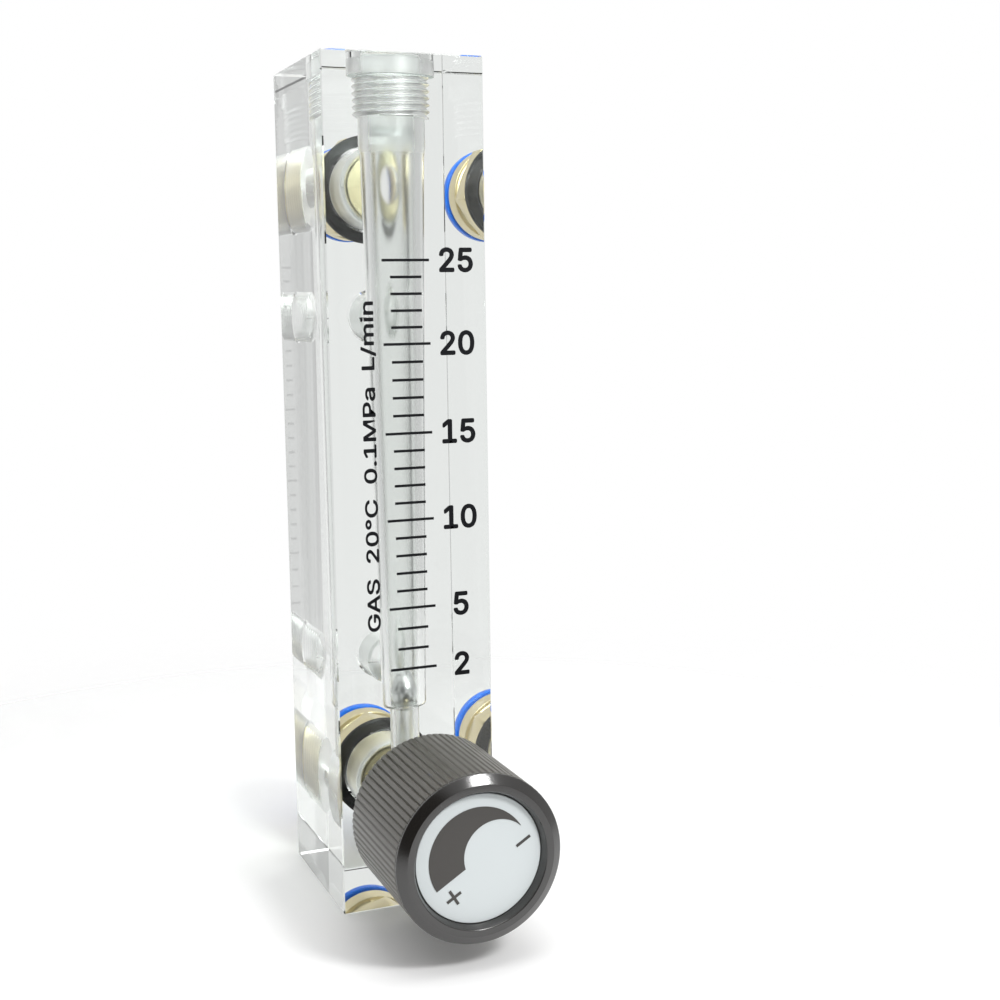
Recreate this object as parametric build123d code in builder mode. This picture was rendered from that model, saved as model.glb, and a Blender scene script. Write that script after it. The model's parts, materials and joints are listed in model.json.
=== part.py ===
from build123d import *

import os
from math import cos, pi, sin, sqrt

# A clear block flowmeter with a needle valve, in millimetres.
#
# The origin is the centre of the block's bottom face. +Z runs up the measuring tube, the scale and
# the knob face -Y, the push-in fittings face +Y, and +X is to the right seen from the front.

# Clear block
block_width = 25.0
block_depth = 28.0
block_edge = 0.4  # polished chamfer on every outer edge

# Measuring tube, a tapered bore with its passage below and its plug above
tube_setback = 9.5  # tube's axis behind the front face
tube_floor = 30.3  # height of the tube's floor
tube_bottom_diameter = 7.1
tube_top_diameter = 9.9
passage_diameter = 4.7
float_diameter = 6.35
float_seat_gap = 0.1

# Top plug
plug_head_diameter = 13.4
plug_head_height = 2.7
plug_thread_diameter = 12.0
plug_thread_length = 6.1
plug_nose_diameter = 10.3
plug_nose_length = 4.2
plug_cone_height = 1.6  # the bore narrows to the tube over this height
plug_slot_width = 1.6
plug_slot_depth = 1.5
plug_seal_section = 1.6

# Ports, on the rear face
lower_port_height = 16.5
port_spacing = 95.0
top_margin = 18.5  # block above the upper port
port_thread_diameter = 13.16
port_depth = 10.0
cross_hole_diameter = 6.0  # smaller than the float, which stays in the tube
valve_seat_diameter = 3.4

# Mounting holes, on the rear face
mount_spacing = 55.0
mount_thread_diameter = 8.0
mount_thread_depth = 9.0
drill_point_angle = 118.0

# Valve bush and its gasket
bush_thread_diameter = 14.0
bush_thread_length = 7.0
bush_hex_width = 16.0
bush_hex_thickness = 3.4
bush_bevel = 0.7
chamber_diameter = 12.4
chamber_depth = 12.6
bush_gasket_width = 1.5  # ring's width beyond the bush's thread
gasket_thickness = 1.2

# Valve stem, in the position of the photograph
stem_diameter = 6.0
stem_piston_diameter = 7.4
stem_piston_length = 3.6
stem_neck_diameter = 4.4
stem_neck_length = 2.5  # between the piston and the needle
needle_length = 4.0
needle_tip_diameter = 2.4
needle_entry = 1.8  # the tip's reach into the seat when the valve is shut
stem_seal_section = 1.3
stem_pitch = 0.75
closing_turns = 4.0
opening_turns = 0.5

# Knob
knob_diameter = 24.8
knob_length = 21.8
knob_gap = 5.4  # rear rim in front of the block
knob_flutes = 78
flute_depth = 0.22
bezel_step = 0.05  # bezel's land below the flutes' crests
bezel_length = 1.3
bezel_slope_length = 0.9  # the slope between the land and the crest, along the axis
crest_diameter = 22.0
crest_width = 1.0
knob_wall = 1.7
knob_front_wall = 5.0
hub_diameter = 9.6
hub_recess = 3.2  # hub's end inside the knob's rear rim
knob_screw_diameter = 3.0
knob_screw_length = 10.0
screw_head_diameter = 5.4
screw_head_height = 1.7
screw_slot_width = 0.8
screw_slot_depth = 0.9

# Dial let into the knob's front
dial_diameter = 18.8
dial_thickness = 0.6
dial_sink = 1.2  # dial's face below the bezel's crest
mark_thickness = 0.06
dial_turn = 31.5  # degrees that the dial is turned at this opening
crescent_outer_radius = 7.5
crescent_inner_radius = 5.1
crescent_offset = 2.85
crescent_offset_angle = -27.5
sign_length = 2.45
sign_width = 0.42
minus_radius = 6.9
minus_angle = -18.5
plus_radius = 6.4
plus_angle = 201.5

# Printed scale
scale_centre = -0.3
long_tick = 7.4
short_tick = 4.9
tick_width = 0.4
numbered_flows = (2, 5, 10, 15, 20, 25)
numbered_heights = (37.9, 47.4, 61.0, 74.2, 87.6, 100.0)

# Push-in fittings
fitting_shank_length = 9.0
fitting_hex_width = 15.0
fitting_hex_thickness = 5.0
fitting_bevel = 0.9
fitting_gasket_width = 1.92  # ring's width beyond the port's thread
neck_length = 1.6
neck_depth = 0.8
rim_diameter = 15.4
rim_length = 3.2
rim_round = 0.5
hex_turns = {"upper": 8.0, "lower": 21.0}
hose_diameter = 8.0
hose_clearance = 0.1
hose_depth = 16.5  # hose's end behind the collar's face
collar_diameter = 15.6
collar_flange = 1.8
collar_round = 0.7
collar_travel = 0.7
collar_gap = 0.9
sleeve_wall = 0.75
sleeve_length = 3.5
guide_length = 2.9
cartridge_diameter = 12.0
seal_pocket_diameter = 11.2
seal_length = 2.6
seal_groove = 0.8
claw_thickness = 0.25
claw_reach = 1.2
claw_teeth = 10
claw_slot = 0.7

# Clearances
thread_clearance = 0.05
running_clearance = 0.08
sliding_clearance = 0.05
press_clearance = 0.02

# Places that follow from the sizes above
front_y = -block_depth / 2
rear_y = block_depth / 2
tube_y = front_y + tube_setback
valve_height = lower_port_height
upper_port_height = lower_port_height + port_spacing
ports_middle = (lower_port_height + upper_port_height) / 2
block_height = upper_port_height + top_margin
plug_seat = block_height - plug_head_height
plug_thread_end = plug_seat - plug_thread_length
plug_bottom = plug_thread_end - plug_nose_length
tube_top = plug_bottom - plug_cone_height
feed_in = closing_turns * stem_pitch
feed_out = opening_turns * stem_pitch
needle_tip = feed_in - chamber_depth - needle_entry
needle_base = needle_tip + needle_length
piston_inner = needle_base + stem_neck_length
piston_outer = piston_inner + stem_piston_length
bush_head_front = gasket_thickness + bush_hex_thickness
knob_front = knob_gap + knob_length
dial_seat = knob_front - dial_sink - dial_thickness
screw_seat = dial_seat - screw_head_height - sliding_clearance
hub_floor = knob_front - knob_front_wall
hex_front = gasket_thickness + fitting_hex_thickness
rim_rear = hex_front + neck_length
rim_front = rim_rear + rim_length
collar_rear = rim_front + collar_gap
collar_front = collar_rear + collar_flange
hose_radius = (hose_diameter + 2 * hose_clearance) / 2
hose_stop = collar_front - hose_depth
guide_front = rim_front - running_clearance
guide_rear = guide_front - guide_length
claw_seat = guide_rear - claw_thickness
seal_seat = claw_seat - claw_reach - seal_length - collar_gap / 2
tube_axis = Axis((0, tube_y, 0), (0, 0, 1))
valve_axis = Axis((0, front_y, valve_height), (0, -1, 0))


def valve_section():
    """Section plane of the valve: local X is the radius, local Y runs out of the front face."""
    return Plane(origin=(0, front_y, valve_height), x_dir=(1, 0, 0), z_dir=(0, 0, -1))


def valve_face(out, turn=0):
    """Plane across the valve's axis, seen from the front, out of the front face and turned."""
    turned_x = (cos(turn * pi / 180), 0, sin(turn * pi / 180))
    return Plane(origin=(0, front_y - out, valve_height), x_dir=turned_x, z_dir=(0, -1, 0))


def port_section(height):
    """Section plane of a port: local X is the radius, local Y runs out of the rear face."""
    return Plane(origin=(0, rear_y, height), x_dir=(1, 0, 0), z_dir=(0, 0, 1))


def port_face(height, out):
    """Plane across a port's axis, seen from behind, at a distance out of the rear face."""
    return Plane(origin=(0, rear_y + out, height), x_dir=(-1, 0, 0), z_dir=(0, 1, 0))


def port_axis(height):
    """Axis of what is turned about a port, out of the rear face."""
    return Axis((0, rear_y, height), (0, 1, 0))


def drill_point(radius):
    """Length of a drill's point of this radius."""
    return radius / tan_half_point


def flow_height(flow):
    """Height of a tick, in line between the numbered ones on each side of it."""
    for index in range(len(numbered_flows) - 1):
        low, high = numbered_flows[index], numbered_flows[index + 1]
        if low <= flow <= high:
            share = (flow - low) / (high - low)
            return numbered_heights[index] * (1 - share) + numbered_heights[index + 1] * share


tan_half_point = sin(drill_point_angle / 2 * pi / 180) / cos(drill_point_angle / 2 * pi / 180)

os.makedirs("parts", exist_ok=True)

# Flow block: one clear body with every bore machined into it
with BuildPart() as flow_block:
    Box(
        block_width,
        block_depth,
        block_height,
        align=(Align.CENTER, Align.CENTER, Align.MIN),
    )
    chamfer(flow_block.edges(), block_edge)
    # Passage, tapered tube, plug's nose bore, thread and head recess, on one axis
    with BuildSketch(Plane.XZ.offset(-tube_y)):
        with BuildLine():
            Polyline(
                (0, valve_height),
                (passage_diameter / 2, valve_height),
                (passage_diameter / 2, tube_floor),
                (tube_bottom_diameter / 2, tube_floor),
                (tube_top_diameter / 2, tube_top),
                (plug_nose_diameter / 2 + sliding_clearance, plug_bottom),
                (plug_nose_diameter / 2 + sliding_clearance, plug_thread_end),
                (plug_thread_diameter / 2 + thread_clearance, plug_thread_end),
                (plug_thread_diameter / 2 + thread_clearance, plug_seat),
                (plug_head_diameter / 2 + running_clearance, plug_seat),
                (plug_head_diameter / 2 + running_clearance, block_height),
                (0, block_height),
                close=True,
            )
        make_face()
    revolve(axis=tube_axis, mode=Mode.SUBTRACT)
    # Valve chamber with its thread, and the seat that leads to the lower port
    with BuildSketch(valve_section()):
        with BuildLine():
            Polyline(
                (0, 0),
                (bush_thread_diameter / 2 + thread_clearance, 0),
                (bush_thread_diameter / 2 + thread_clearance, -bush_thread_length),
                (chamber_diameter / 2, -bush_thread_length),
                (chamber_diameter / 2, -chamber_depth),
                (valve_seat_diameter / 2, -chamber_depth),
                (valve_seat_diameter / 2, port_depth - block_depth),
                (0, port_depth - block_depth),
                close=True,
            )
        make_face()
    revolve(axis=valve_axis, mode=Mode.SUBTRACT)
    # Ports, tapped from the rear
    for height in (lower_port_height, upper_port_height):
        with BuildSketch(port_face(height, 0)):
            Circle(port_thread_diameter / 2 + thread_clearance)
        extrude(amount=-port_depth, mode=Mode.SUBTRACT)
    with BuildSketch(port_face(upper_port_height, -port_depth)):
        Circle(cross_hole_diameter / 2)
    extrude(amount=-(block_depth - port_depth - tube_setback), mode=Mode.SUBTRACT)
    # Blind mounting holes with a drill's point
    for height in (ports_middle - mount_spacing / 2, ports_middle + mount_spacing / 2):
        with BuildSketch(port_section(height)):
            with BuildLine():
                Polyline(
                    (0, 0),
                    (mount_thread_diameter / 2, 0),
                    (mount_thread_diameter / 2, -mount_thread_depth),
                    (0, -mount_thread_depth - drill_point(mount_thread_diameter / 2)),
                    close=True,
                )
            make_face()
        revolve(axis=port_axis(height), mode=Mode.SUBTRACT)
flow_block.part.label = "flow_block"
export_step(flow_block.part, "parts/flow_block.step")

# Top plug: slotted head, thread and a nose with a groove for its seal
seal_groove_radius = plug_nose_diameter / 2 - plug_seal_section + 2 * sliding_clearance
seal_groove_middle = plug_bottom + plug_nose_length / 2
seal_groove_half = plug_seal_section / 2 + sliding_clearance
with BuildPart() as top_plug:
    with BuildSketch(Plane.XZ.offset(-tube_y)):
        with BuildLine():
            Polyline(
                (0, plug_bottom),
                (plug_nose_diameter / 2 - block_edge, plug_bottom),
                (plug_nose_diameter / 2, plug_bottom + block_edge),
                (plug_nose_diameter / 2, seal_groove_middle - seal_groove_half),
                (seal_groove_radius, seal_groove_middle - seal_groove_half),
                (seal_groove_radius, seal_groove_middle + seal_groove_half),
                (plug_nose_diameter / 2, seal_groove_middle + seal_groove_half),
                (plug_nose_diameter / 2, plug_thread_end + sliding_clearance),
                (plug_thread_diameter / 2, plug_thread_end + sliding_clearance),
                (plug_thread_diameter / 2, plug_seat),
                (plug_head_diameter / 2, plug_seat),
                (plug_head_diameter / 2, block_height - block_edge),
                (plug_head_diameter / 2 - block_edge, block_height),
                (0, block_height),
                close=True,
            )
        make_face()
    revolve(axis=tube_axis)
    with BuildSketch(Plane.XY.offset(block_height)):
        with Locations((0, tube_y)):
            Rectangle(plug_head_diameter + plug_slot_width, plug_slot_width)
    extrude(amount=-plug_slot_depth, mode=Mode.SUBTRACT)
top_plug.part.label = "top_plug"
export_step(top_plug.part, "parts/top_plug.step")

# Plug seal: an O-ring squeezed between groove and bore
with BuildPart() as plug_seal:
    plug_seal_radius = (seal_groove_radius + plug_nose_diameter / 2 + sliding_clearance) / 2
    with BuildSketch(Plane.XZ.offset(-tube_y)):
        with Locations((plug_seal_radius, seal_groove_middle)):
            Circle(plug_nose_diameter / 2 + sliding_clearance - plug_seal_radius - press_clearance)
    revolve(axis=tube_axis)
plug_seal.part.label = "plug_seal"
export_step(plug_seal.part, "parts/plug_seal.step")

# Float: a ball on the mouth of the passage
float_sink = sqrt(float_diameter**2 - passage_diameter**2) / 2
with BuildPart(Plane((0, tube_y, tube_floor + float_sink + float_seat_gap))) as float_ball:
    Sphere(float_diameter / 2)
float_ball.part.label = "float_ball"
export_step(float_ball.part, "parts/float_ball.step")

# Scale marks: a long tick at each number and a short one at each flow between
with BuildPart() as scale_marks:
    with BuildSketch(Plane.XZ.offset(-front_y)):
        for flow in range(numbered_flows[0], numbered_flows[-1] + 1):
            with Locations((scale_centre, flow_height(flow))):
                Rectangle(long_tick if flow in numbered_flows else short_tick, tick_width)
    extrude(amount=mark_thickness)
scale_marks.part.label = "scale_marks"
export_step(scale_marks.part, "parts/scale_marks.step")

# Bush gasket, under the bush's head
with BuildPart() as bush_gasket:
    with BuildSketch(valve_face(0)):
        Circle(bush_thread_diameter / 2 + bush_gasket_width)
        Circle(bush_thread_diameter / 2 + running_clearance, mode=Mode.SUBTRACT)
    extrude(amount=gasket_thickness)
bush_gasket.part.label = "bush_gasket"
export_step(bush_gasket.part, "parts/bush_gasket.step")

# Valve bush: hexagon head, thread, and a stepped bore for the stem's thread and its seal
bush_corner_radius = bush_hex_width / sqrt(3)
gland_radius = stem_piston_diameter / 2 + running_clearance
stem_bore_radius = stem_diameter / 2 + running_clearance
gland_shoulder = piston_outer + feed_out + running_clearance
with BuildPart() as valve_bush:
    with BuildSketch(valve_face(gasket_thickness)):
        RegularPolygon(bush_hex_width / 2, 6, major_radius=False)
    extrude(amount=bush_hex_thickness)
    with BuildSketch(valve_section()):
        with BuildLine():
            Polyline(
                (0, gasket_thickness),
                (bush_corner_radius, gasket_thickness),
                (bush_corner_radius, bush_head_front - bush_bevel),
                (bush_corner_radius - 2 * bush_bevel, bush_head_front),
                (0, bush_head_front),
                close=True,
            )
        make_face()
    revolve(axis=valve_axis, mode=Mode.INTERSECT)
    with BuildSketch(valve_section()):
        with BuildLine():
            Polyline(
                (0, -bush_thread_length + sliding_clearance),
                (bush_thread_diameter / 2 - bush_bevel, -bush_thread_length + sliding_clearance),
                (bush_thread_diameter / 2, -bush_thread_length + sliding_clearance + bush_bevel),
                (bush_thread_diameter / 2, gasket_thickness),
                (0, gasket_thickness),
                close=True,
            )
        make_face()
    revolve(axis=valve_axis)
    with BuildSketch(valve_section()):
        with BuildLine():
            Polyline(
                (0, -bush_thread_length),
                (gland_radius, -bush_thread_length),
                (gland_radius, gland_shoulder),
                (stem_bore_radius, gland_shoulder),
                (stem_bore_radius, bush_head_front),
                (0, bush_head_front),
                close=True,
            )
        make_face()
    revolve(axis=valve_axis, mode=Mode.SUBTRACT)
valve_bush.part.label = "valve_bush"
export_step(valve_bush.part, "parts/valve_bush.step")

# Valve stem: needle, neck, piston with a seal groove, and the shaft that the knob sits on
stem_end = hub_floor - sliding_clearance
stem_groove_middle = piston_inner + stem_piston_length / 2
stem_groove_half = stem_seal_section / 2 + sliding_clearance
stem_groove_radius = gland_radius - stem_seal_section
with BuildPart() as valve_stem:
    with BuildSketch(valve_section()):
        with BuildLine():
            Polyline(
                (0, needle_tip),
                (needle_tip_diameter / 2, needle_tip),
                (stem_neck_diameter / 2, needle_base),
                (stem_neck_diameter / 2, piston_inner),
                (stem_piston_diameter / 2, piston_inner),
                (stem_piston_diameter / 2, stem_groove_middle - stem_groove_half),
                (stem_groove_radius, stem_groove_middle - stem_groove_half),
                (stem_groove_radius, stem_groove_middle + stem_groove_half),
                (stem_piston_diameter / 2, stem_groove_middle + stem_groove_half),
                (stem_piston_diameter / 2, piston_outer),
                (stem_diameter / 2, piston_outer),
                (stem_diameter / 2, stem_end),
                (0, stem_end),
                close=True,
            )
        make_face()
    revolve(axis=valve_axis)
    with BuildSketch(valve_face(stem_end)):
        Circle(knob_screw_diameter / 2 + thread_clearance)
    extrude(amount=-knob_screw_length, mode=Mode.SUBTRACT)
valve_stem.part.label = "valve_stem"
export_step(valve_stem.part, "parts/valve_stem.step")

# Stem seal: an O-ring in the piston's groove, sliding in the bush
with BuildPart() as stem_seal:
    with BuildSketch(valve_section()):
        with Locations((gland_radius - stem_seal_section / 2, stem_groove_middle)):
            Circle(stem_seal_section / 2 - sliding_clearance)
    revolve(axis=valve_axis)
stem_seal.part.label = "stem_seal"
export_step(stem_seal.part, "parts/stem_seal.step")

# Knob: fluted skirt, bevelled bezel, and a hub inside that sits on the stem
flute_radius = knob_diameter / 2
bezel_radius = flute_radius - bezel_step
crest_radius = crest_diameter / 2
skirt_inner_radius = flute_radius - flute_depth - knob_wall
hub_end = knob_gap + hub_recess
dial_recess_radius = dial_diameter / 2 + sliding_clearance
with BuildPart() as knob:
    with BuildSketch(valve_face(knob_gap)):
        Circle(flute_radius)
        with PolarLocations(flute_radius, knob_flutes):
            RegularPolygon(flute_depth, 4, mode=Mode.SUBTRACT)
    extrude(amount=knob_length - bezel_length)
    with BuildSketch(valve_section()):
        with BuildLine():
            Polyline(
                (0, knob_front - bezel_length),
                (bezel_radius, knob_front - bezel_length),
                (bezel_radius, knob_front - bezel_slope_length),
                (crest_radius, knob_front),
                (0, knob_front),
                close=True,
            )
        make_face()
    revolve(axis=valve_axis)
    # Space round the hub
    with BuildSketch(valve_section()):
        with BuildLine():
            Polyline(
                (0, knob_gap),
                (skirt_inner_radius, knob_gap),
                (skirt_inner_radius, hub_floor),
                (hub_diameter / 2, hub_floor),
                (hub_diameter / 2, hub_end),
                (0, hub_end),
                close=True,
            )
        make_face()
    revolve(axis=valve_axis, mode=Mode.SUBTRACT)
    # Bore for the stem, hole and recess for the screw, and recess for the dial
    with BuildSketch(valve_section()):
        with BuildLine():
            Polyline(
                (0, hub_end),
                (stem_diameter / 2 + sliding_clearance, hub_end),
                (stem_diameter / 2 + sliding_clearance, hub_floor),
                (knob_screw_diameter / 2 + running_clearance, hub_floor),
                (knob_screw_diameter / 2 + running_clearance, screw_seat),
                (screw_head_diameter / 2 + running_clearance, screw_seat),
                (screw_head_diameter / 2 + running_clearance, dial_seat),
                (dial_recess_radius, dial_seat),
                (dial_recess_radius, dial_seat + dial_thickness),
                (crest_radius - crest_width, knob_front),
                (0, knob_front),
                close=True,
            )
        make_face()
    revolve(axis=valve_axis, mode=Mode.SUBTRACT)
knob.part.label = "knob"
export_step(knob.part, "parts/knob.step")

# Knob screw: slotted, with its head under the dial
with BuildPart() as knob_screw:
    with BuildSketch(valve_face(screw_seat)):
        Circle(knob_screw_diameter / 2)
    extrude(amount=hub_floor - screw_seat + sliding_clearance - knob_screw_length)
    with BuildSketch(valve_face(screw_seat)):
        Circle(screw_head_diameter / 2)
    extrude(amount=screw_head_height)
    with BuildSketch(valve_face(screw_seat + screw_head_height)):
        Rectangle(2 * screw_head_diameter, screw_slot_width)
    extrude(amount=-screw_slot_depth, mode=Mode.SUBTRACT)
knob_screw.part.label = "knob_screw"
export_step(knob_screw.part, "parts/knob_screw.step")

# Dial plate
with BuildPart() as dial_plate:
    with BuildSketch(valve_face(dial_seat)):
        Circle(dial_diameter / 2)
    extrude(amount=dial_thickness)
dial_plate.part.label = "dial_plate"
export_step(dial_plate.part, "parts/dial_plate.step")

# Dial marks: a crescent that widens from minus to plus
with BuildPart() as dial_marks:
    with BuildSketch(valve_face(dial_seat + dial_thickness, dial_turn)):
        Circle(crescent_outer_radius)
        with PolarLocations(crescent_offset, 1, crescent_offset_angle):
            Circle(crescent_inner_radius, mode=Mode.SUBTRACT)
        Rectangle(
            2 * dial_diameter,
            dial_diameter,
            align=(Align.CENTER, Align.MAX),
            mode=Mode.SUBTRACT,
        )
        with PolarLocations(minus_radius, 1, minus_angle, rotate=False):
            Rectangle(sign_length, sign_width)
        with PolarLocations(plus_radius, 1, plus_angle, rotate=False):
            Rectangle(sign_length, sign_width)
            Rectangle(sign_width, sign_length)
    extrude(amount=mark_thickness)
dial_marks.part.label = "dial_marks"
export_step(dial_marks.part, "parts/dial_marks.step")

# Push-in fittings: the same six pieces at each port
fitting_corner_radius = fitting_hex_width / sqrt(3)
neck_radius = fitting_hex_width / 2 - sliding_clearance
pocket_radius = seal_pocket_diameter / 2
cartridge_radius = cartridge_diameter / 2
sleeve_radius = hose_radius + sleeve_wall
claw_lip = claw_reach + sliding_clearance
for end, height in (("upper", upper_port_height), ("lower", lower_port_height)):
    # Gasket under the hexagon
    with BuildPart() as fitting_gasket:
        with BuildSketch(port_face(height, 0)):
            Circle(port_thread_diameter / 2 + fitting_gasket_width)
            Circle(port_thread_diameter / 2 + running_clearance, mode=Mode.SUBTRACT)
        extrude(amount=gasket_thickness)
    fitting_gasket.part.label = f"{end}_fitting_gasket"
    export_step(fitting_gasket.part, f"parts/{end}_fitting_gasket.step")

    # Body: bevelled hexagon, threaded shank, hollow neck, rim, and the bores for what it holds
    with BuildPart() as fitting_body:
        with BuildSketch(port_face(height, gasket_thickness)):
            RegularPolygon(fitting_hex_width / 2, 6, major_radius=False, rotation=hex_turns[end])
        extrude(amount=fitting_hex_thickness)
        with BuildSketch(port_section(height)):
            with BuildLine():
                Polyline(
                    (0, gasket_thickness),
                    (fitting_corner_radius, gasket_thickness),
                    (fitting_corner_radius, hex_front - fitting_bevel),
                    (fitting_corner_radius - 2 * fitting_bevel, hex_front),
                    (0, hex_front),
                    close=True,
                )
            make_face()
        revolve(axis=port_axis(height), mode=Mode.INTERSECT)
        with BuildSketch(port_section(height)) as turned_form:
            with BuildLine():
                Polyline(
                    (neck_radius, hex_front),
                    (neck_radius, gasket_thickness),
                    (port_thread_diameter / 2, gasket_thickness),
                    (port_thread_diameter / 2, fitting_bevel - fitting_shank_length),
                    (port_thread_diameter / 2 - fitting_bevel, -fitting_shank_length),
                    (0, -fitting_shank_length),
                    (0, rim_front),
                    (rim_diameter / 2 - rim_round, rim_front),
                    (rim_diameter / 2, rim_front - rim_round),
                    (rim_diameter / 2, rim_rear),
                    (neck_radius, rim_rear),
                )
                ThreePointArc(
                    (neck_radius, hex_front),
                    (neck_radius - neck_depth, (hex_front + rim_rear) / 2),
                    (neck_radius, rim_rear),
                )
            make_face()
        revolve(axis=port_axis(height))
        with BuildSketch(port_section(height)):
            with BuildLine():
                Polyline(
                    (0, -fitting_shank_length),
                    (cross_hole_diameter / 2, -fitting_shank_length),
                    (cross_hole_diameter / 2, hose_stop),
                    (hose_radius, hose_stop),
                    (hose_radius, seal_seat),
                    (pocket_radius, seal_seat),
                    (pocket_radius, claw_seat),
                    (cartridge_radius, claw_seat),
                    (cartridge_radius, rim_front),
                    (0, rim_front),
                    close=True,
                )
            make_face()
        revolve(axis=port_axis(height), mode=Mode.SUBTRACT)
    fitting_body.part.label = f"{end}_fitting_body"
    export_step(fitting_body.part, f"parts/{end}_fitting_body.step")

    # Tube seal: a lip seal, open towards the pressure
    with BuildPart() as tube_seal:
        seal_middle = (pocket_radius + hose_radius) / 2
        with BuildSketch(port_section(height)):
            with BuildLine():
                Polyline(
                    (hose_radius + press_clearance, seal_seat),
                    (seal_middle - seal_groove / 2, seal_seat),
                    (seal_middle, seal_seat + seal_groove),
                    (seal_middle + seal_groove / 2, seal_seat),
                    (pocket_radius - press_clearance, seal_seat),
                    (pocket_radius - press_clearance, seal_seat + seal_length),
                    (hose_radius + press_clearance, seal_seat + seal_length),
                    close=True,
                )
            make_face()
        revolve(axis=port_axis(height))
    tube_seal.part.label = f"{end}_tube_seal"
    export_step(tube_seal.part, f"parts/{end}_tube_seal.step")

    # Collet claw: a flat ring whose teeth lean inwards to grip the hose
    with BuildPart() as collet_claw:
        with BuildSketch(port_section(height)):
            with BuildLine():
                Polyline(
                    (cartridge_radius - press_clearance, claw_seat),
                    (hose_radius + claw_lip, claw_seat),
                    (hose_radius + sliding_clearance, claw_seat - claw_reach),
                    (hose_radius + sliding_clearance, claw_seat - claw_reach + claw_thickness),
                    (hose_radius + claw_lip, guide_rear),
                    (cartridge_radius - press_clearance, guide_rear),
                    close=True,
                )
            make_face()
        revolve(axis=port_axis(height))
        with BuildSketch(port_face(height, guide_rear)):
            with PolarLocations(hose_radius + claw_lip / 2, claw_teeth):
                Rectangle(claw_lip, claw_slot)
        extrude(amount=-(guide_rear - seal_seat), mode=Mode.SUBTRACT)
    collet_claw.part.label = f"{end}_collet_claw"
    export_step(collet_claw.part, f"parts/{end}_collet_claw.step")

    # Collet guide: the ring pressed into the rim, in which the collar slides
    with BuildPart() as collet_guide:
        with BuildSketch(port_face(height, guide_rear)):
            Circle(cartridge_radius - press_clearance)
            Circle(sleeve_radius + running_clearance, mode=Mode.SUBTRACT)
        extrude(amount=guide_length)
    collet_guide.part.label = f"{end}_collet_guide"
    export_step(collet_guide.part, f"parts/{end}_collet_guide.step")

    # Release collar: a rounded flange to press, and a sleeve that spreads the claw
    with BuildPart() as release_collar:
        with BuildSketch(port_section(height)) as collar_form:
            with BuildLine():
                Polyline(
                    (hose_radius, collar_rear - sleeve_length),
                    (sleeve_radius - sleeve_wall / 2, collar_rear - sleeve_length),
                    (sleeve_radius, collar_rear - sleeve_length + sleeve_wall),
                    (sleeve_radius, collar_rear),
                    (collar_diameter / 2, collar_rear),
                    (collar_diameter / 2, collar_front),
                    (hose_radius, collar_front),
                    close=True,
                )
            make_face()
            outer_corners = collar_form.vertices().sort_by(Axis.X)[-2:]
            fillet(outer_corners.sort_by(Axis.Y)[-1], collar_round)
            mouth = collar_form.vertices().sort_by(Axis.Y)[-2:].sort_by(Axis.X)[0]
            chamfer(mouth, sleeve_wall / 2)
        revolve(axis=port_axis(height))
    release_collar.part.label = f"{end}_release_collar"
    export_step(release_collar.part, f"parts/{end}_release_collar.step")
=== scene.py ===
import json
from math import ceil, cos, pi, radians, sin, sqrt, tau

import bmesh
import bpy
from mathutils import Matrix, Vector

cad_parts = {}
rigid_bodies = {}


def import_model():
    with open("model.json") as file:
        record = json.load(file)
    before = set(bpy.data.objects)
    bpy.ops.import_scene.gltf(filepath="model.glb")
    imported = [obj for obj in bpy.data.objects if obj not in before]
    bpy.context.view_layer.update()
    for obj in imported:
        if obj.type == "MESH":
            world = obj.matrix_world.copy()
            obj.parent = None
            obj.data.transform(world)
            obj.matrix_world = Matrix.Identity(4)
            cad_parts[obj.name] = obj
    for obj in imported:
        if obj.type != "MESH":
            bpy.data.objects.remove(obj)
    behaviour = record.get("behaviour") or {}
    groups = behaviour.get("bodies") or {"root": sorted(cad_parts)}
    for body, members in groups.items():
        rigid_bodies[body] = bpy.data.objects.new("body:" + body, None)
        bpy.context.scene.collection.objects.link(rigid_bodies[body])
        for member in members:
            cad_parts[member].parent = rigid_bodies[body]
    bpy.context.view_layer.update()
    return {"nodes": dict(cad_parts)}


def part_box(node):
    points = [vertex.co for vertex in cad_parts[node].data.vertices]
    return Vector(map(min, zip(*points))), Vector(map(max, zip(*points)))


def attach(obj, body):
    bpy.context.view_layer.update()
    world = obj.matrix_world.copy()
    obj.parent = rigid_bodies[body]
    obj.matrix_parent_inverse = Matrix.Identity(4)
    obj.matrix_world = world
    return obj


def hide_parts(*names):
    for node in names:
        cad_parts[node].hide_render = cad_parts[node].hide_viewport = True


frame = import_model()

# Sizes are in millimetres until a mesh is placed, and the scene is in metres.
MM = 0.001

# Places that the frame gives
block_low, block_high = (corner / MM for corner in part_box("flow_block"))
bush_low, bush_high = (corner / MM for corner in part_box("valve_bush"))
ball_low, ball_high = (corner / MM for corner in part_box("float_ball"))
front_y, rear_y = block_low.y, block_high.y
block_top = block_high.z
valve_height = (bush_low.z + bush_high.z) / 2
tube_y = (ball_low.y + ball_high.y) / 2
port_heights = {
    end: (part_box(end + "_release_collar")[0].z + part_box(end + "_release_collar")[1].z) / 2 / MM
    for end in ("upper", "lower")
}

# Clear block
BLOCK_EDGE = 0.2
CHAMBER_ROUND = 0.5
TUBE_FLOOR = 30.3
TUBE_FLOOR_ROUND = 0.9
TUBE_BOTTOM_RADIUS = 3.55
TUBE_TOP_RADIUS = 4.95
PASSAGE_RADIUS = 2.35
CHAMBER_RADIUS = 6.2
CHAMBER_DEPTH = 12.6
SEAT_RADIUS = 1.7
PORT_DEPTH = 10.0
CROSS_HOLE_RADIUS = 3.0
MOUNT_SPACING = 55.0
MOUNT_DEPTH = 9.0
MOUNT_POINT = 2.4
CUTTER_OVERRUN = 0.5

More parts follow.
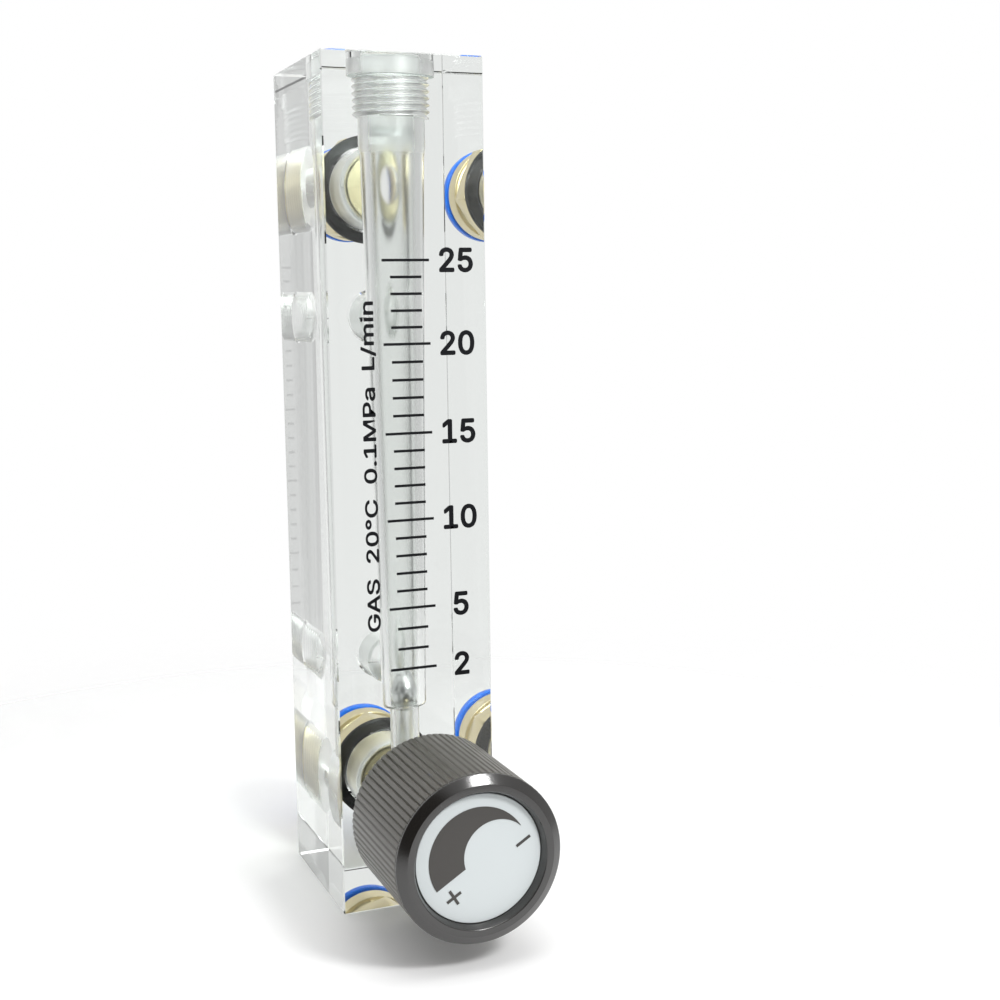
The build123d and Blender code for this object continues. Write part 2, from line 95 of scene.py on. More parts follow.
# Threads: crest radius of the screw, depth of the thread, and pitch
PLUG_THREAD = (5.95, 0.58, 1.0)
BUSH_THREAD = (6.93, 0.58, 1.0)
PORT_THREAD = (6.52, 0.80, 1.337)
MOUNT_THREAD = (3.95, 0.66, 1.25)
THREAD_GAP = 0.07
THREAD_OVERLAP = 0.1  # how far a threaded sleeve reaches into its hexagon
MOUTH_BEVEL = 0.25
ROWS_PER_TURN = 6
THREAD_FLANK = 1.5  # how many times steeper a flank is than a plain zigzag's
THREAD_MERGE = 0.0008
TINY = 0.0001

# Top plug
PLUG_HEAD_RADIUS = 6.7
PLUG_HEAD_HEIGHT = 2.7
PLUG_HEAD_GAP = 0.08
PLUG_THREAD_LENGTH = 6.1
PLUG_THREAD_TIP = 0.5
PLUG_THREAD_OVERRUN = 0.2
PLUG_NOSE_RADIUS = 5.15
PLUG_NOSE_LENGTH = 4.2
PLUG_CONE_HEIGHT = 1.6
PLUG_GROOVE_HALF = 0.85
PLUG_GROOVE_RADIUS = 3.65
PLUG_GROOVE_ROUND = 0.1
PLUG_SLOT_WIDTH = 1.6
PLUG_SLOT_DEPTH = 1.5
PLUG_BEVEL = 0.4
NOSE_GAP = 0.05
plug_seat = block_top - PLUG_HEAD_HEIGHT
plug_thread_end = plug_seat - PLUG_THREAD_LENGTH
plug_nose_end = plug_thread_end - PLUG_NOSE_LENGTH

# Gaskets
GASKET_THICKNESS = 1.2
GASKET_RADIUS = 8.5
GASKET_ROUND = 0.35
GASKET_GAP = 0.01
BUSH_GASKET_BORE = 7.08
PORT_GASKET_BORE = 6.66

# Radii inside the brass where its thread, hexagon and core are laid into each other
THREAD_BORE_RADIUS = 5.2
BUSH_HEX_BORE_RADIUS = 5.0
BUSH_CORE_RADIUS = 5.6
FITTING_HEX_BORE_RADIUS = 6.0
FITTING_CORE_RADIUS = 5.5

# Valve bush and stem: distances out of the front face
BUSH_HEX_WIDTH = 16.0
BUSH_HEX_SOFTNESS = 0.08
BUSH_FRONT = 4.6
BUSH_BEVEL = 0.7
BUSH_END = -6.95
BUSH_THREAD_TIP = 0.7
BUSH_BORE_RADIUS = 3.08
BUSH_BORE_ROUND = 0.3
BUSH_CORE_SINK = 0.02
GLAND_RADIUS = 3.78
GLAND_SHOULDER = -0.845
STEM_OUTLINE = (
    (0, -11.4),
    (1.2, -11.4, 0.1),
    (2.2, -7.4),
    (2.2, -4.9),
    (3.7, -4.9, 0.2),
    (3.7, -3.8, 0.1),
    (2.48, -3.8),
    (2.48, -2.4),
    (3.7, -2.4, 0.1),
    (3.7, -1.3, 0.2),
    (3.0, -1.3),
    (3.0, 22.15, 0.3),
    (0, 22.15),
)

# Knob and dial: distances out of the front face
KNOB_REAR = 5.4
KNOB_FRONT = 27.2
FLUTE_COUNT = 78
FLUTE_RADIUS = 12.4
FLUTE_DEPTH = 0.22
FLUTE_SKIN = (1.0, 0.05, 0.01)  # how far the fluted skin counts inwards, outwards and to the front
COLUMNS_PER_FLUTE = 9
BEZEL_RADIUS = 12.35
BEZEL_LENGTH = 1.3
BEZEL_SLOPE_LENGTH = 0.9
CREST_RADIUS = 11.0
CREST_WIDTH = 1.0
SKIRT_RADIUS = 10.48
HUB_RADIUS = 4.8
HUB_END = 8.6
HUB_FLOOR = 22.2
KNOB_BORE_RADIUS = 3.05
SCREW_SEAT = 23.65
SCREW_HOLE_RADIUS = 1.58
SCREW_RECESS_RADIUS = 2.78
DIAL_SEAT = 25.4
DIAL_RADIUS = 9.4
DIAL_THICKNESS = 0.6
DIAL_GAP = 0.05
DIAL_ROUND = 0.12
CREST_ROUND = 0.12
BEZEL_ROUND = 0.1
FLUTE_END_ROUND = 0.05
KNOB_FINE_ROUND = 0.2
KNOB_ROUND = 0.3

# Push-in fittings: distances out of the rear face
FITTING_HEX_WIDTH = 15.0
FITTING_HEX_FRONT = 6.2
FITTING_HEX_SOFTNESS = 0.1
FITTING_BEVEL = 0.9
FITTING_END = -9.0
FITTING_THREAD_TIP = 0.9
NECK_RADIUS = 7.45
NECK_HALF = 0.8
NECK_ANGLES = range(75, -90, -15)
NECK_DRAFT = 0.1
RIM_RADIUS = 7.7
RIM_REAR = 7.8
RIM_REAR_ROUND = 0.2
RIM_FRONT = 11.0
RIM_FRONT_ROUND = 0.5
RIM_MOUTH_ROUND = 0.15
HOSE_STOP = -2.8
HOSE_RADIUS = 4.1
SEAL_SEAT = 3.52
POCKET_RADIUS = 5.6
CLAW_SEAT = 7.77
CARTRIDGE_RADIUS = 6.0
HEX_TURNS = {"upper": 8.0, "lower": 21.0}
COLLAR_RADIUS = 7.8
COLLAR_REAR = 11.9
COLLAR_REAR_ROUND = 0.35
COLLAR_FRONT = 13.7
COLLAR_FRONT_ROUND = 0.8
COLLAR_MOUTH_ROUND = 0.45
SLEEVE_RADIUS = 4.85
SLEEVE_ROUND = 0.2
SLEEVE_END = 8.4
SLEEVE_TIP_RADIUS = 4.475
SLEEVE_TIP_LENGTH = 0.75

# Print on the front face
PRINT_FONT = "/datafiles/fonts/Inter.woff2"
PRINT_RAISE = 0.05
COPY_RISE = 0.001
NUMBER_HEIGHT = 3.75
NUMBER_CENTRE = 7.7
NUMBER_BOLD = 0.16
NUMBERED_FLOWS = (2, 5, 10, 15, 20, 25)
ONE_FIGURE_SHIFT = 0.1
LONG_TICK_MARGIN = 0.01
GAS_TEXT = "GAS  20\u00b0C  0.1MPa  L/min"
GAS_TEXT_HEIGHT = 2.4
GAS_TEXT_CENTRE = -6.4
GAS_TEXT_BOTTOM = 44.2
GAS_TEXT_LENGTH = 49.8
GAS_TEXT_BOLD = 0.07
BOLD_COPIES = 8

# Fineness of the meshes
SEGMENTS = 96
HEX_SEGMENTS = 144
BALL_RINGS = 64
ARC_STEPS = 6
SHARP_ANGLE = 32
MERGE_DISTANCE = 0.001

# Finish of the acrylic: roughness, and how far each finish reaches past its faces
ACRYLIC_IOR = 1.49
MACHINED_ROUGHNESS = 0.40
TUBE_ROUGHNESS = 0.24
FACE_POLISH = (0.3, 0.5)
PLUG_TOP_POLISH = 0.2
TUBE_POLISH = 0.1

# Finish of the turned metal
TOOL_RING_SCALE = 7.0
TOOL_RING_DETAIL = 3.0
TOOL_RING_ROUGHNESS = 0.12
METAL_CLOUD_SCALE = 0.35
METAL_CLOUD_SHADE = 0.86

# Finish of what is moulded
COAT_ROUGHNESS = 0.08
KNOB_GRAIN = (5.0, 0.006)
FLUTE_ROUGHNESS = 0.34
BEZEL_ROUGHNESS = 0.16

# Stage
CAMERA_PLACE = (-71.9, -227.5, 95.1)
CAMERA_FORWARD = (0.3746, 0.9272)
CAMERA_PITCH = 7.91
CAMERA_ROLL = -0.74
CAMERA_LENS = 53.84
CAMERA_SENSOR = 36
FLOOR_SIZE = 400.0
FLOOR_FADE = (60.0, 190.0)
FLOOR_GAP = 0.02
FLOOR_WHITE = (0.92, 0.92, 0.92, 1)
FLOOR_ROUGHNESS = 0.6
LIGHT_BOUNCES = 20

# Studio that the object bends and mirrors
STUDIO_LEVEL = 0.96
STUDIO_LEAST = 0.03
# A dark part of it: where it begins and is full on the way there, and what it takes from the level
SIDES_DARKER = (0.45, 0.95, 0.30)
BEHIND_DARKER = (0.2, 0.9, 0.34)
BELOW_DARKER = (0.3, 0.9, 0.15)
CARD_DARKER = (0.80, 0.94, 0.70)
CARD_WAY = (-0.50, -0.80, 0.30)  # the way from the object to the dark card beside the camera


class Socket:
    """An output of a node, on which maths is written as on a number."""

    def __init__(self, tree, socket):
        self.tree = tree
        self.socket = socket

    def __add__(self, other):
        return self.tree.maths("ADD", self, other)

    def __radd__(self, other):
        return self.tree.maths("ADD", other, self)

    def __sub__(self, other):
        return self.tree.maths("SUBTRACT", self, other)

    def __rsub__(self, other):
        return self.tree.maths("SUBTRACT", other, self)

    def __mul__(self, other):
        return self.tree.maths("MULTIPLY", self, other)

    def __rmul__(self, other):
        return self.tree.maths("MULTIPLY", other, self)

    def __truediv__(self, other):
        return self.tree.maths("DIVIDE", self, other)

    def __rtruediv__(self, other):
        return self.tree.maths("DIVIDE", other, self)

    def __pow__(self, other):
        return self.tree.maths("POWER", self, other)

    def __mod__(self, other):
        return self.tree.maths("FLOORED_MODULO", self, other)

    def __gt__(self, other):
        return self.tree.maths("GREATER_THAN", self, other)

    def __lt__(self, other):
        return self.tree.maths("LESS_THAN", self, other)

    def __abs__(self):
        return self.tree.maths("ABSOLUTE", self)


class Tree:
    """A node tree to which nodes are added by type, settings and inputs."""

    def __init__(self, tree):
        self.tree = tree

    def node(self, kind, settings=None, values=None, output=0):
        """Adds a node, makes its settings, then its inputs, and returns one of its outputs."""
        made = self.tree.nodes.new(kind)
        for name, value in (settings or {}).items():
            setattr(made, name, value)
        for key, value in (values or {}).items():
            if isinstance(value, Socket):
                self.tree.links.new(value.socket, made.inputs[key])
            else:
                made.inputs[key].default_value = value
        if made.outputs:
            return Socket(self, made.outputs[output])

    def maths(self, operation, *terms):
        return self.node("ShaderNodeMath", {"operation": operation}, dict(enumerate(terms)))

    def least(self, first, second):
        return self.maths("MINIMUM", first, second)

    def most(self, first, second):
        return self.maths("MAXIMUM", first, second)

    def clamped(self, value, low=0.0, high=1.0):
        return self.least(self.most(value, low), high)

    def smooth(self, value, low, high):
        """0 at low, 1 at high, and a smooth step between."""
        return self.node(
            "ShaderNodeMapRange",
            {"interpolation_type": "SMOOTHSTEP"},
            {"Value": value, "From Min": low, "From Max": high},
        )

    def ways(self, vector):
        """The three parts of a vector."""
        split = self.tree.nodes.new("ShaderNodeSeparateXYZ")
        self.tree.links.new(vector.socket, split.inputs[0])
        return [Socket(self, part) for part in split.outputs]

    def vector(self, x, y, z):
        return self.node("ShaderNodeCombineXYZ", None, {0: x, 1: y, 2: z})


# Materials


def new_material(name):
    """An empty material and its tree."""
    material = bpy.data.materials.new(name)
    material.use_nodes = True
    material.node_tree.nodes.clear()
    return material, Tree(material.node_tree)


def object_place(tree):
    """Object coordinates in millimetres."""
    place = tree.node("ShaderNodeTexCoord", output=3)
    return tree.node("ShaderNodeVectorMath", {"operation": "SCALE"}, {0: place, "Scale": 1 / MM})


def noise(tree, place, scale, detail=2.0):
    """Noise from 0 to 1, finer with scale, at a place in millimetres."""
    return tree.node(
        "ShaderNodeTexNoise", None, {"Vector": place, "Scale": scale, "Detail": detail}
    )


def bumped(tree, height, distance):
    """A normal from a height of 0 to 1 that stands for a distance in millimetres."""
    return tree.node("ShaderNodeBump", None, {"Height": height, "Distance": distance * MM})


def mixed(tree, share, first, second):
    """A colour between two."""
    return tree.node(
        "ShaderNodeMix", {"data_type": "RGBA"}, {0: share, 6: first, 7: second}, output=2
    )


def surface(tree, **values):
    """Principled surface whose inputs are given by name, with spaces for underscores."""
    named = {key.replace("_", " "): value for key, value in values.items()}
    return tree.node("ShaderNodeBsdfPrincipled", None, named)


def shown(tree, shader):
    tree.node("ShaderNodeOutputMaterial", None, {"Surface": shader})


def acrylic(name, tint, roughness):
    """Clear acrylic that bends what is seen through it and lets the lamps' light pass.

    The roughness is a number, or a function of the tree and the place in millimetres."""
    material, tree = new_material(name)
    finish = roughness(tree, object_place(tree)) if callable(roughness) else roughness
    clear = surface(
        tree, Base_Color=tint, Roughness=finish, IOR=ACRYLIC_IOR, Transmission_Weight=1.0
    )
    passing = tree.node("ShaderNodeBsdfTransparent", None, {"Color": tint})
    lamp = tree.node("ShaderNodeLightPath", output=1)
    shown(tree, tree.node("ShaderNodeMixShader", None, {0: lamp, 1: clear, 2: passing}))
    return material


def block_finish(tree, place):
    """Polished outer faces, a fine finish in the tube, and a duller one in the other holes."""
    x, y, z = tree.ways(place)
    from_side = block_high.x - abs(x)
    from_face = block_high.y - abs(y)
    from_end = tree.least(z, block_top - z)
    depth = tree.least(tree.least(from_side, from_face), from_end)
    tube_radius = (x * x + (y - tube_y) * (y - tube_y)) ** 0.5
    tube_height = (z > TUBE_FLOOR - TUBE_POLISH) * (z < plug_nose_end)
    in_tube = (tube_radius < TUBE_TOP_RADIUS + TUBE_POLISH) * tube_height
    machined = tree.smooth(depth, *FACE_POLISH) * (1.0 - in_tube)
    return TUBE_ROUGHNESS * in_tube + MACHINED_ROUGHNESS * machined


def plug_finish(tree, place):
    """Polished top face, and a machined finish elsewhere."""
    height = tree.ways(place)[2]
    return MACHINED_ROUGHNESS * (height < block_top - PLUG_TOP_POLISH)


def turned_metal(name, colour, roughness, axis_height, ring=0.004):
    """Metal turned on an axis along Y at a height, with fine rings left by the tool."""
    material, tree = new_material(name)
    place = object_place(tree)
    x, y, z = tree.ways(place)
    radius = ((x * x) + (z - axis_height) * (z - axis_height)) ** 0.5
    rings = noise(tree, tree.vector(radius, y, 0.0), TOOL_RING_SCALE, TOOL_RING_DETAIL)
    cloud = noise(tree, place, METAL_CLOUD_SCALE)
    shade = [METAL_CLOUD_SHADE * part for part in colour[:3]] + [1]
    finish = surface(
        tree,
        Base_Color=mixed(tree, cloud, colour, shade),
        Metallic=1.0,
        Roughness=roughness + TOOL_RING_ROUGHNESS * rings,
        Normal=bumped(tree, rings, ring),
    )
    shown(tree, finish)
    return material


def plain(name, colour, roughness, metallic=0.0, coat=0.0, grain=None, shine=0.5):
    """Even surface, with a grain of a scale and depth in millimetres if one is given."""
    material, tree = new_material(name)
    values = {
        "Base_Color": colour,
        "Roughness": roughness,
        "Metallic": metallic,
        "Coat_Weight": coat,
        "Coat_Roughness": COAT_ROUGHNESS,
        "Specular_IOR_Level": shine,
    }
    if grain:
        scale, depth = grain
        values["Normal"] = bumped(tree, noise(tree, object_place(tree), scale), depth)
    shown(tree, surface(tree, **values))
    return material


def moulded(name, flutes, bezel):
    """Dark plastic, duller on the flutes than on the bezel, with the flutes painted paler as painted
    light.
    """
    material, tree = new_material(name)
    place = object_place(tree)
    depth = tree.ways(place)[1]
    # 1 on the bezel: glossier there, and darker than the flutes, whose paler colour is painted light
    bezel_gloss_and_painted_light_split = depth < front_y - KNOB_FRONT + BEZEL_LENGTH
    grain, grain_depth = KNOB_GRAIN
    finish = surface(
        tree,
        Base_Color=mixed(tree, bezel_gloss_and_painted_light_split, flutes, bezel),
        Roughness=FLUTE_ROUGHNESS - (FLUTE_ROUGHNESS - BEZEL_ROUGHNESS) * bezel_gloss_and_painted_light_split,
        Specular_IOR_Level=1.0,
        Normal=bumped(tree, noise(tree, place, grain), grain_depth),
    )
    shown(tree, finish)
    return material


def on_screen(*parts):
    """The shader's colour for red, green and blue from 0 to 255 on a screen."""
    shares = [part / 255 for part in parts]
    linear = [
        share / 12.92 if share <= 0.04045 else ((share + 0.055) / 1.055) ** 2.4 for share in shares
    ]
    return linear + [1]


block_acrylic = acrylic("block_acrylic", (0.850, 0.872, 0.856, 1), block_finish)
plug_acrylic = acrylic("plug_acrylic", (0.95, 0.96, 0.96, 1), plug_finish)
seal_silicone = acrylic("seal_silicone", (0.90, 0.92, 0.92, 1), 0.35)
brass_colour = on_screen(231, 218, 178)
front_brass = turned_metal("front_brass", brass_colour, 0.27, valve_height)
rear_brass = {
    end: turned_metal(end + "_brass", brass_colour, 0.27, height)
    for end, height in port_heights.items()
}
steel = turned_metal("steel", on_screen(196, 196, 194), 0.22, valve_height, ring=0.002)
ball_steel = plain("ball_steel", on_screen(228, 229, 229), 0.28, metallic=1.0)
claw_steel = plain("claw_steel", on_screen(212, 212, 212), 0.22, metallic=1.0)
rubber = plain("rubber", on_screen(34, 34, 35), 0.62, grain=(3.0, 0.01), shine=0.25)
ink = plain("ink", on_screen(20, 21, 24), 0.5, shine=0.1)
# One plastic in two colours: the paler flute colour is painted light on the flutes
knob_plastic = moulded("knob_plastic", on_screen(62, 58, 49), on_screen(29, 27, 25))
dial_silver = plain("dial_silver", on_screen(206, 212, 213), 0.34, coat=0.1, shine=0.3)
dial_ink = plain("dial_ink", on_screen(80, 78, 76), 0.45, shine=0.15)
blue_plastic = plain(
    "blue_plastic", on_screen(0, 112, 232), 0.26, coat=0.1, grain=(0.6, 0.01), shine=0.3
)


# Meshes, in millimetres


def rounded(outline, closed):
    """The points of an outline of (radius, height[, rounding]), with its rounded corners as arcs."""
    points = []
    count = len(outline)
    for index, corner in enumerate(outline):
        here = Vector(corner[:2])
        if len(corner) == 2 or (not closed and index in (0, count - 1)):
            points.append(here)
            continue
        before = (Vector(outline[index - 1][:2]) - here).normalized()
        after = (Vector(outline[(index + 1) % count][:2]) - here).normalized()
        reach = corner[2] / sin(before.angle(after) / 2) * cos(before.angle(after) / 2)
        for step in range(ARC_STEPS + 1):
            share = step / ARC_STEPS
            bow = (1 - share) ** 2 * (here + before * reach) + 2 * share * (1 - share) * here
            points.append(bow + share**2 * (here + after * reach))
    return points


def turned(outline, columns=SEGMENTS, closed=False):
    """A mesh turned about Z. An open outline starts and ends on the axis, a closed one is a ring."""
    made = bmesh.new()
    rows = []
    for point in rounded(outline, closed):
        if point.x < 1e-6:
            rows.append([made.verts.new((0, 0, point.y))] * columns)
            continue
        rows.append(
            [
                made.verts.new((point.x * cos(turn), point.x * sin(turn), point.y))
                for turn in (tau * n / columns for n in range(columns))
            ]
        )
    following = rows[1:] + rows[:1] if closed else rows[1:]
    for low, high in zip(rows, following):
        for n in range(columns):
            corners = [low[n], low[(n + 1) % columns], high[(n + 1) % columns], high[n]]
            distinct = list(dict.fromkeys(corners))
            if len(distinct) > 2:
                made.faces.new(distinct)
    return finished_mesh(made)


def hexagon(width, low, high, bevel, turn, bore):
    """A hexagon across flats with its front corners turned off, and a round bore."""
    made = bmesh.new()
    corner = width / sqrt(3)
    rows = [[] for _ in range(5)]
    for n in range(HEX_SEGMENTS):
        angle = tau * n / HEX_SEGMENTS
        edge = width / 2 / cos((angle - radians(turn)) % (tau / 6) - tau / 12)
        turned_off = high - bevel + (corner - edge) / 2
        flat = corner - 2 * bevel
        places = ((bore, low), (edge, low), (edge, turned_off), (flat, high), (bore, high))
        for row, (radius, height) in zip(rows, places):
            row.append(made.verts.new((radius * cos(angle), radius * sin(angle), height)))
    for low_row, high_row in zip(rows, rows[1:] + rows[:1]):
        for n in range(HEX_SEGMENTS):
            following = (n + 1) % HEX_SEGMENTS
            made.faces.new([low_row[n], low_row[following], high_row[following], high_row[n]])
    return finished_mesh(made)


def plain_mesh(made):
    """The mesh of a bmesh, which is then freed."""
    mesh = bpy.data.meshes.new("made")
    made.to_mesh(mesh)
    made.free()
    return mesh


def finished_mesh(made):
    """The mesh of a bmesh, with its normals outward."""
    bmesh.ops.recalc_face_normals(made, faces=made.faces)
    return plain_mesh(made)


def box_mesh(low, high):
    """A box between two corners."""
    made = bmesh.new()
    bmesh.ops.create_cube(made, size=1)
    middle = (Vector(low) + Vector(high)) / 2
    size = Vector(high) - Vector(low)
    matrix = Matrix.Translation(middle) @ Matrix.Diagonal((*size, 1))
    bmesh.ops.transform(made, matrix=matrix, verts=made.verts)
    return finished_mesh(made)


def together(*meshes):
    """One mesh of several shells."""
    made = bmesh.new()
    for mesh in meshes:
        made.from_mesh(mesh)
    return plain_mesh(made)


# Geometry Nodes for threads and flutes


def node_group(name, inputs):
    """A group with named inputs after its geometry, with its tree and those inputs as sockets."""
    group = bpy.data.node_groups.new(name, "GeometryNodeTree")
    group.interface.new_socket("Geometry", in_out="OUTPUT", socket_type="NodeSocketGeometry")
    group.interface.new_socket("Geometry", in_out="INPUT", socket_type="NodeSocketGeometry")
    for label in inputs:
        group.interface.new_socket(label, in_out="INPUT", socket_type="NodeSocketFloat")
    group.interface.new_socket("Material", in_out="INPUT", socket_type="NodeSocketMaterial")
    tree = Tree(group)
    entry = group.nodes.new("NodeGroupInput")
    given = {socket.name: Socket(tree, socket) for socket in entry.outputs if socket.name}
    return group, tree, given


def end_group(tree, geometry, material):
    """Ends a group: what it made is real geometry with a material."""
    real = tree.node("GeometryNodeRealizeInstances", None, {0: geometry})
    painted = tree.node("GeometryNodeSetMaterial", None, {"Geometry": real, "Material": material})
    tree.node("NodeGroupOutput", None, {0: painted})


def thread_group():
    """A threaded rod along Z from 0 to its length, with rows that follow the helix."""
    labels = ["Crest Radius", "Depth", "Pitch", "Length", "Bore Radius", "Tip Bevel", "Point"]
    labels += ["Rows", "Columns"]
    group, tree, given = node_group("thread", labels)
    crest, depth, pitch, length, bore, bevel, point, rows, columns = (
        given[label] for label in labels
    )
    size = {"Size X": 1.0, "Size Y": 1.0, "Vertices X": columns, "Vertices Y": rows}
    grid = tree.node("GeometryNodeMeshGrid", None, size)
    x, y = tree.ways(tree.node("GeometryNodeInputPosition"))[:2]
    turn = x + 0.5
    last_row = rows - 1.0
    row = tree.maths("ROUND", (y + 0.5) * last_row)
    free_height = ((row - 2.0) / ROWS_PER_TURN + turn - 1.0) * pitch
    height = tree.least(tree.most(free_height, 0.0), length)
    inside = (free_height > -TINY) * (free_height < length + TINY)
    wave = abs(((row - 2.0) % ROWS_PER_TURN) * (2 / ROWS_PER_TURN) - 1.0)
    tooth = tree.clamped(wave * THREAD_FLANK - (THREAD_FLANK - 1) / 2) * inside
    radius = tree.least(crest - depth + depth * tooth, crest - bevel + height)
    first = row < 0.5
    second = (row < 1.5) * (row > 0.5)
    final = row > last_row - 0.5
    capped = first + second + final
    hollow = bore > 0.0
    radius = radius * (1.0 - capped) + bore * capped
    low_end = 0.0 - point
    far_end = hollow * length + (1.0 - hollow) * low_end
    height = height * (1.0 - capped) + first * far_end + second * low_end + final * length
    angle = turn * tau
    place = tree.vector(
        radius * tree.maths("COSINE", angle), radius * tree.maths("SINE", angle), height
    )
    moved = tree.node("GeometryNodeSetPosition", None, {"Geometry": grid, "Position": place})
    merging = {"Geometry": moved, "Distance": THREAD_MERGE}
    closed = tree.node("GeometryNodeMergeByDistance", None, merging)
    end_group(tree, closed, given["Material"])
    return group


def flute_group():
    """Flutes cut along Z into the skin of a turned mesh."""
    labels = ["Count", "Depth", "Skin Radius", "Front"]
    group, tree, given = node_group("flutes", labels)
    count, depth, skin, front = (given[label] for label in labels)
    x, y, z = tree.ways(tree.node("GeometryNodeInputPosition"))
    radius = (x * x + y * y) ** 0.5
    turn = tree.maths("ARCTAN2", y, x) / tau
    from_land = abs((turn * count) % 1.0 - 0.5)
    from_middle = (0.5 - from_land) * tau * skin / count
    floor = skin - tree.most(depth - from_middle, 0.0)
    inwards, outwards, forwards = FLUTE_SKIN
    on_skin = (radius > skin - inwards) * (radius < skin + outwards) * (z < front + forwards)
    scale = tree.least(floor / radius, 1.0) * on_skin + (1.0 - on_skin)
    moving = {"Geometry": given["Geometry"], "Position": tree.vector(x * scale, y * scale, z)}
    cut = tree.node("GeometryNodeSetPosition", None, moving)
    end_group(tree, cut, given["Material"])
    return group


thread_nodes = thread_group()
flute_nodes = flute_group()


def evaluated(thing):
    """The plain mesh of an object with its modifiers, which is then removed."""
    seen = thing.evaluated_get(bpy.context.evaluated_depsgraph_get())
    mesh = bpy.data.meshes.new_from_object(seen)
    bpy.data.objects.remove(thing)
    return mesh


def made_by(group, values, material, mesh=None):
    """The mesh that a group makes with these inputs."""
    thing = bpy.data.objects.new("worked", mesh or bpy.data.meshes.new("empty"))
    bpy.context.scene.collection.objects.link(thing)
    modifier = thing.modifiers.new("nodes", "NODES")
    modifier.node_group = group
    sockets = {
        item.name: item.identifier
        for item in group.interface.items_tree
        if item.in_out == "INPUT"
    }
    for name, value in {**values, "Material": material}.items():
        modifier[sockets[name]] = value
    return evaluated(thing)


def threaded(form, length, material=None, bore=0.0, tip=0.0, point=0.0, gap=0.0):
    """A threaded rod of a form, or a cutter for its hole where there is a gap.

    The sliver that is left open where the helix starts is filled."""
    crest, depth, pitch = form
    rows = ceil((length / pitch + 1) * ROWS_PER_TURN) + 4
    values = {
        "Crest Radius": crest + gap,
        "Depth": depth,
        "Pitch": pitch,
        "Length": length,
        "Bore Radius": bore,
        "Tip Bevel": tip,
        "Point": point,
        "Rows": float(rows),
        "Columns": SEGMENTS + 1.0,
    }
    made = bmesh.new()
    made.from_mesh(made_by(thread_nodes, values, material))
    bmesh.ops.holes_fill(made, edges=made.edges, sides=3)
    bmesh.ops.dissolve_degenerate(made, dist=MERGE_DISTANCE, edges=made.edges)
    return finished_mesh(made)


def combined(first, others, operation):
    """A mesh with others cut from it or joined to it."""
    thing = bpy.data.objects.new("worked", first)
    bpy.context.scene.collection.objects.link(thing)
    tools = bpy.data.collections.new("tools")
    for mesh in others:
        tools.objects.link(bpy.data.objects.new("tool", mesh))
    modifier = thing.modifiers.new("boolean", "BOOLEAN")
    modifier.operation = operation
    modifier.solver = "EXACT"
    modifier.operand_type = "COLLECTION"
    modifier.collection = tools
    mesh = evaluated(thing)
    for tool in list(tools.objects):
        bpy.data.objects.remove(tool)
    bpy.data.collections.remove(tools)
    return mesh


def cleaned(mesh):
    """A mesh with its doubled vertices merged and its slivers dissolved."""
    made = bmesh.new()
    made.from_mesh(mesh)
    bmesh.ops.remove_doubles(made, verts=made.verts, dist=MERGE_DISTANCE)
    bmesh.ops.dissolve_degenerate(made, dist=MERGE_DISTANCE, edges=made.edges)
    return plain_mesh(made)


def softened(mesh, width, segments=2, angle=40):
    """A mesh with its sharp edges rounded off."""
    thing = bpy.data.objects.new("worked", mesh)
    bpy.context.scene.collection.objects.link(thing)
    modifier = thing.modifiers.new("bevel", "BEVEL")
    modifier.width = width
    modifier.segments = segments
    modifier.limit_method = "ANGLE"
    modifier.angle_limit = radians(angle)
    return evaluated(thing)


# Places of what is turned on the three axes


def on_tube():
    return Matrix.Translation((0, tube_y, 0))


def out_of_front():
    """Local Z runs out of the front face on the valve's axis, with local X to the right."""
    return Matrix(((1, 0, 0, 0), (0, 0, -1, front_y), (0, 1, 0, valve_height), (0, 0, 0, 1)))


def out_of_rear(height):
    """Local Z runs out of the rear face at a height, with local X to the right seen from behind."""
    return Matrix(((-1, 0, 0, 0), (0, 0, 1, rear_y), (0, 1, 0, height), (0, 0, 0, 1)))


def placed(mesh, matrix):
    mesh.transform(matrix)
    return mesh


def lengthwise(mesh, distance):
    """A turned mesh moved along its own axis."""
    return placed(mesh, Matrix.Translation((0, 0, distance)))


def piece(name, mesh, material, body, replaced=None):
    """Shows a mesh in millimetres as a piece of a body, in place of a CAD node."""
    mesh.transform(Matrix.Scale(MM, 4))
    mesh.materials.clear()
    mesh.materials.append(material)
    mesh.shade_smooth()
    mesh.set_sharp_from_angle(angle=radians(SHARP_ANGLE))
    thing = bpy.data.objects.new(name, mesh)
    bpy.context.scene.collection.objects.link(thing)
    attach(thing, body)
    if replaced:
        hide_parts(replaced)


# Clear block


def mouth(form):
    """Cutter for the bevelled mouth of a threaded hole, at height 0."""
    crest, depth = form[:2]
    root = crest + THREAD_GAP - depth
    drop = depth + MOUTH_BEVEL
    wide = root + drop + CUTTER_OVERRUN
    return turned(((0, -drop), (root, -drop), (wide, CUTTER_OVERRUN), (0, CUTTER_OVERRUN)))


def threaded_hole(form, depth, point=0.0):
    """Cutter for a threaded hole whose mouth is at height 0."""
    return lengthwise(threaded(form, depth + CUTTER_OVERRUN, gap=THREAD_GAP, point=point), -depth)


